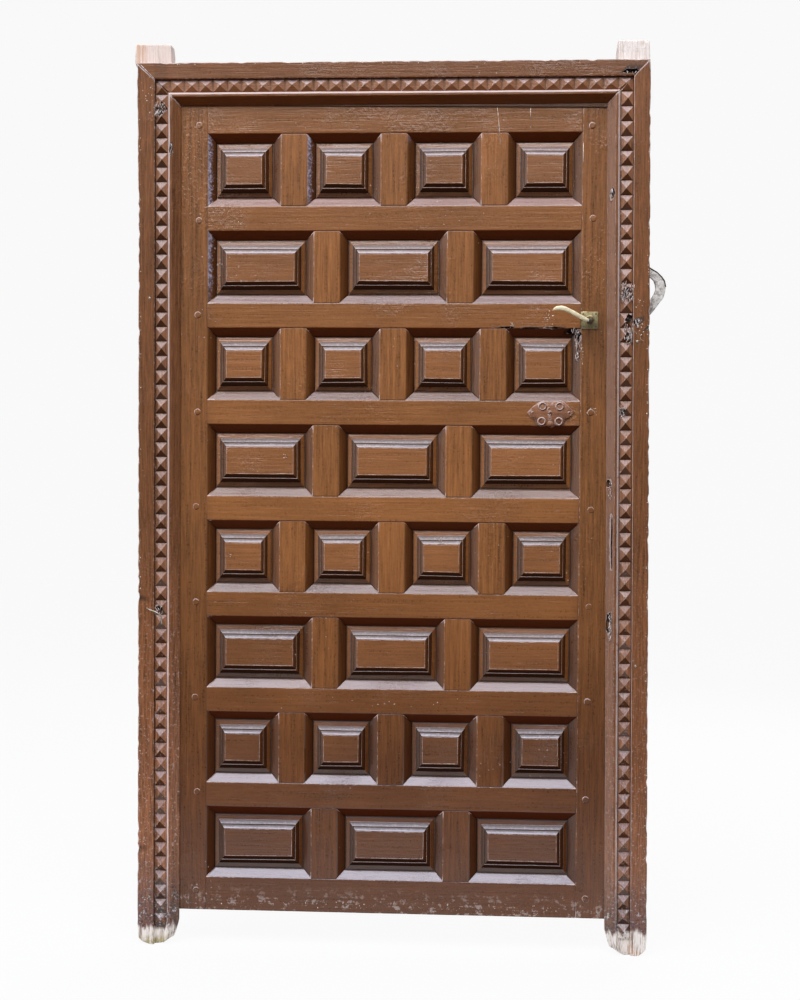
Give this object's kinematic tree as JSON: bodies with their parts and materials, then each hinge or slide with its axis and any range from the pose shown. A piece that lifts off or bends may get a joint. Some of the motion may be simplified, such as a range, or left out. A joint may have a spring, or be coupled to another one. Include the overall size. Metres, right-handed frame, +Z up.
{
  "type": "panelled door with frame",
  "caption": "Wooden door leaf of raised panels, square and oblong by turns, hung in a mitred frame with strips of diamond points, with a lever latch.",
  "frame": {"origin": "on the floor line, midway between the jambs, in the plane of the frame's front face", "axes": "+X across the door towards the lock side, +Y from the front to the back, into the room the leaf opens to, +Z up"},
  "size_m": [1.2313, 0.1534, 2.1235],
  "materials": {
    "brown_paint": "gloss oil paint, worn",
    "iron": "forged, dull",
    "painted_iron": "painted over with the door",
    "brass": "worn satin"
  },
  "bodies": {
    "frame": {"jamb_hinge": "brown_paint", "jamb_lock": "brown_paint", "frame_head": "brown_paint", "strip_hinge": "brown_paint", "strip_lock": "brown_paint", "strip_head": "brown_paint", "wall_anchor": "iron", "hinge_low_frame": "iron", "hinge_mid_frame": "iron", "hinge_top_frame": "iron"},
    "leaf": {"stile_hinge": "brown_paint", "stile_lock": "brown_paint", "rail_top": "brown_paint", "rail_1": "brown_paint", "rail_2": "brown_paint", "rail_3": "brown_paint", "rail_4": "brown_paint", "rail_5": "brown_paint", "rail_6": "brown_paint", "rail_7": "brown_paint", "rail_bottom": "brown_paint", "panel_1_1": "brown_paint", "panel_1_2": "brown_paint", "panel_1_3": "brown_paint", "panel_1_4": "brown_paint", "panel_2_1": "brown_paint", "panel_2_2": "brown_paint", "panel_2_3": "brown_paint", "panel_3_1": "brown_paint", "panel_3_2": "brown_paint", "panel_3_3": "brown_paint", "panel_3_4": "brown_paint", "panel_4_1": "brown_paint", "panel_4_2": "brown_paint", "panel_4_3": "brown_paint", "panel_5_1": "brown_paint", "panel_5_2": "brown_paint", "panel_5_3": "brown_paint", "panel_5_4": "brown_paint", "panel_6_1": "brown_paint", "panel_6_2": "brown_paint", "panel_6_3": "brown_paint", "panel_7_1": "brown_paint", "panel_7_2": "brown_paint", "panel_7_3": "brown_paint", "panel_7_4": "brown_paint", "panel_8_1": "brown_paint", "panel_8_2": "brown_paint", "panel_8_3": "brown_paint", "escutcheon": "painted_iron", "rose_outside": "brass", "rose_inside": "brass", "latch_case": "iron", "hinge_low_leaf": "iron", "hinge_mid_leaf": "iron", "hinge_top_leaf": "iron"},
    "lever": {"lever_outside": "brass", "lever_inside": "brass", "spindle": "iron"},
    "bolt": {"latch_bolt": "brass"}
  },
  "joints": [
    {"name": "door_swing", "type": "hinge", "parent": "frame", "child": "leaf", "pos_m": [-0.5135, 0.0713, 1], "axis": [0, 0, 1], "range_deg": [0, 105]},
    {"name": "lever_turn", "type": "hinge", "parent": "leaf", "child": "lever", "pos_m": [0.457, 0.0415, 1.4805], "axis": [0, -1, 0], "range_deg": [0, 35], "stiffness_Nm_per_rad": 1.2, "springref_deg": -34.38},
    {"name": "bolt_slide", "type": "slide", "parent": "leaf", "child": "bolt", "axis": [1, 0, 0], "range_m": [-0.011, 0]}
  ],
  "couplings": [
    {"joint": "bolt_slide", "follows": "lever_turn", "m_per_rad": -0.018}
  ]
}
